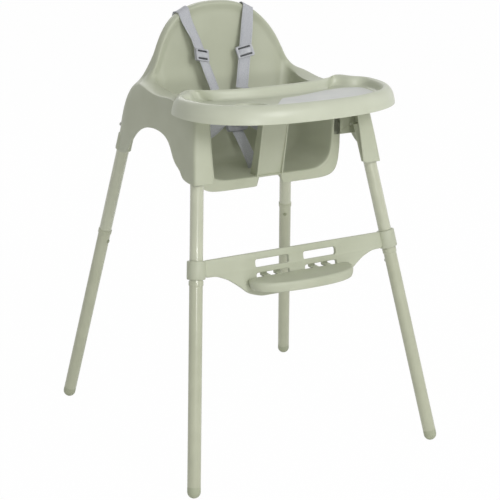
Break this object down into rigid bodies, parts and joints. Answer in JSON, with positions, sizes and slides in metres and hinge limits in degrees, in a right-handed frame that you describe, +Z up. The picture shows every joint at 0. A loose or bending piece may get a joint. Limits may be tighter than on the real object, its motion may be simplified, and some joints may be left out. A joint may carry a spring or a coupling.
{
  "type": "baby high chair",
  "caption": "Moulded baby high chair with slide-on tray, cup recess, harness, footrest and tubular legs.",
  "frame": {"origin": "centre of the footprint on the floor", "axes": "+Z up, the child faces -Y, +X to the chair's side, X = 0 is the plane of symmetry"},
  "size_m": [0.58, 0.612, 0.875],
  "materials": {
    "buckle_plastic": "satin",
    "cap_plastic": "satin",
    "keeper_plastic": "satin",
    "lower_tube": "satin",
    "mat_silicone": "matte",
    "screw_steel": "satin",
    "shell_plastic": "satin",
    "snap_button": "satin",
    "spring_steel": "satin",
    "tray_plastic": "satin",
    "upper_tube": "gloss",
    "webbing": "matte"
  },
  "bodies": {
    "chair": {"buckle_back": "buckle_plastic", "buckle_front": "buckle_plastic", "buckle_spring": "spring_steel", "crotch_anchor": "keeper_plastic", "crotch_strap": "webbing", "foot_cap_front_left": "cap_plastic", "foot_cap_front_right": "cap_plastic", "foot_cap_rear_left": "cap_plastic", "foot_cap_rear_right": "cap_plastic", "footrest_bar": "shell_plastic", "leg_button_spring_front_left": "spring_steel", "leg_button_spring_front_right": "spring_steel", "leg_button_spring_rear_left": "spring_steel", "leg_button_spring_rear_right": "spring_steel", "lower_leg_front_left": "lower_tube", "lower_leg_front_right": "lower_tube", "lower_leg_rear_left": "lower_tube", "lower_leg_rear_right": "lower_tube", "seat_shell": "shell_plastic", "shoulder_anchor_left": "keeper_plastic", "shoulder_anchor_right": "keeper_plastic", "shoulder_strap_left": "webbing", "shoulder_strap_right": "webbing", "shoulder_tongue_left": "buckle_plastic", "shoulder_tongue_right": "buckle_plastic", "socket_screws": "screw_steel", "upper_leg_front_left": "upper_tube", "upper_leg_front_right": "upper_tube", "upper_leg_rear_left": "upper_tube", "upper_leg_rear_right": "upper_tube", "waist_anchor_left": "keeper_plastic", "waist_anchor_right": "keeper_plastic", "waist_strap_left": "webbing", "waist_strap_right": "webbing"},
    "tray": {"tray": "tray_plastic", "tray_mat": "mat_silicone", "tray_latch_spring_left": "spring_steel", "tray_latch_spring_right": "spring_steel"},
    "tray_latch_left": {"tray_latch_left": "tray_plastic"},
    "tray_latch_right": {"tray_latch_right": "tray_plastic"},
    "footrest_plate": {"footrest_plate": "shell_plastic"},
    "buckle_button": {"buckle_button": "buckle_plastic"},
    "shoulder_adjuster_left": {"shoulder_adjuster_left": "buckle_plastic"},
    "shoulder_adjuster_right": {"shoulder_adjuster_right": "buckle_plastic"},
    "leg_button_front_left": {"leg_button_front_left": "snap_button"},
    "leg_button_front_right": {"leg_button_front_right": "snap_button"},
    "leg_button_rear_left": {"leg_button_rear_left": "snap_button"},
    "leg_button_rear_right": {"leg_button_rear_right": "snap_button"}
  },
  "joints": [
    {"name": "tray_slide", "type": "slide", "parent": "chair", "child": "tray", "axis": [0, -1, 0], "range_m": [0, 0.18]},
    {"name": "footrest_tilt", "type": "hinge", "parent": "chair", "child": "footrest_plate", "pos_m": [0, -0.20562, 0.3875], "axis": [-1, 0, 0], "range_deg": [0, 25]},
    {"name": "buckle_press", "type": "slide", "parent": "chair", "child": "buckle_button", "axis": [0, 0.9563, -0.2924], "range_m": [0, 0.0015], "stiffness_N_per_m": 600, "deforming": ["buckle_spring"]},
    {"name": "tray_latch_left_pull", "type": "slide", "parent": "tray", "child": "tray_latch_left", "axis": [-1, 0, 0], "range_m": [0, 0.004], "stiffness_N_per_m": 400, "deforming": ["tray_latch_spring_left"]},
    {"name": "shoulder_adjuster_left_slide", "type": "slide", "parent": "chair", "child": "shoulder_adjuster_left", "axis": [0.2531, -0.2836, -0.925], "range_m": [-0.012, 0.045]},
    {"name": "tray_latch_right_pull", "type": "slide", "parent": "tray", "child": "tray_latch_right", "axis": [1, 0, 0], "range_m": [0, 0.004], "stiffness_N_per_m": 400, "deforming": ["tray_latch_spring_right"]},
    {"name": "shoulder_adjuster_right_slide", "type": "slide", "parent": "chair", "child": "shoulder_adjuster_right", "axis": [-0.2531, -0.2836, -0.925], "range_m": [-0.012, 0.045]},
    {"name": "leg_button_front_left_press", "type": "slide", "parent": "chair", "child": "leg_button_front_left", "axis": [-0.5037, -0.8228, 0.2634], "range_m": [0, 0.003], "stiffness_N_per_m": 900, "deforming": ["leg_button_spring_front_left"]},
    {"name": "leg_button_front_right_press", "type": "slide", "parent": "chair", "child": "leg_button_front_right", "axis": [0.5037, -0.8228, 0.2634], "range_m": [0, 0.003], "stiffness_N_per_m": 900, "deforming": ["leg_button_spring_front_right"]},
    {"name": "leg_button_rear_left_press", "type": "slide", "parent": "chair", "child": "leg_button_rear_left", "axis": [-0.5037, 0.8228, 0.2634], "range_m": [0, 0.003], "stiffness_N_per_m": 900, "deforming": ["leg_button_spring_rear_left"]},
    {"name": "leg_button_rear_right_press", "type": "slide", "parent": "chair", "child": "leg_button_rear_right", "axis": [0.5037, 0.8228, 0.2634], "range_m": [0, 0.003], "stiffness_N_per_m": 900, "deforming": ["leg_button_spring_rear_right"]}
  ]
}
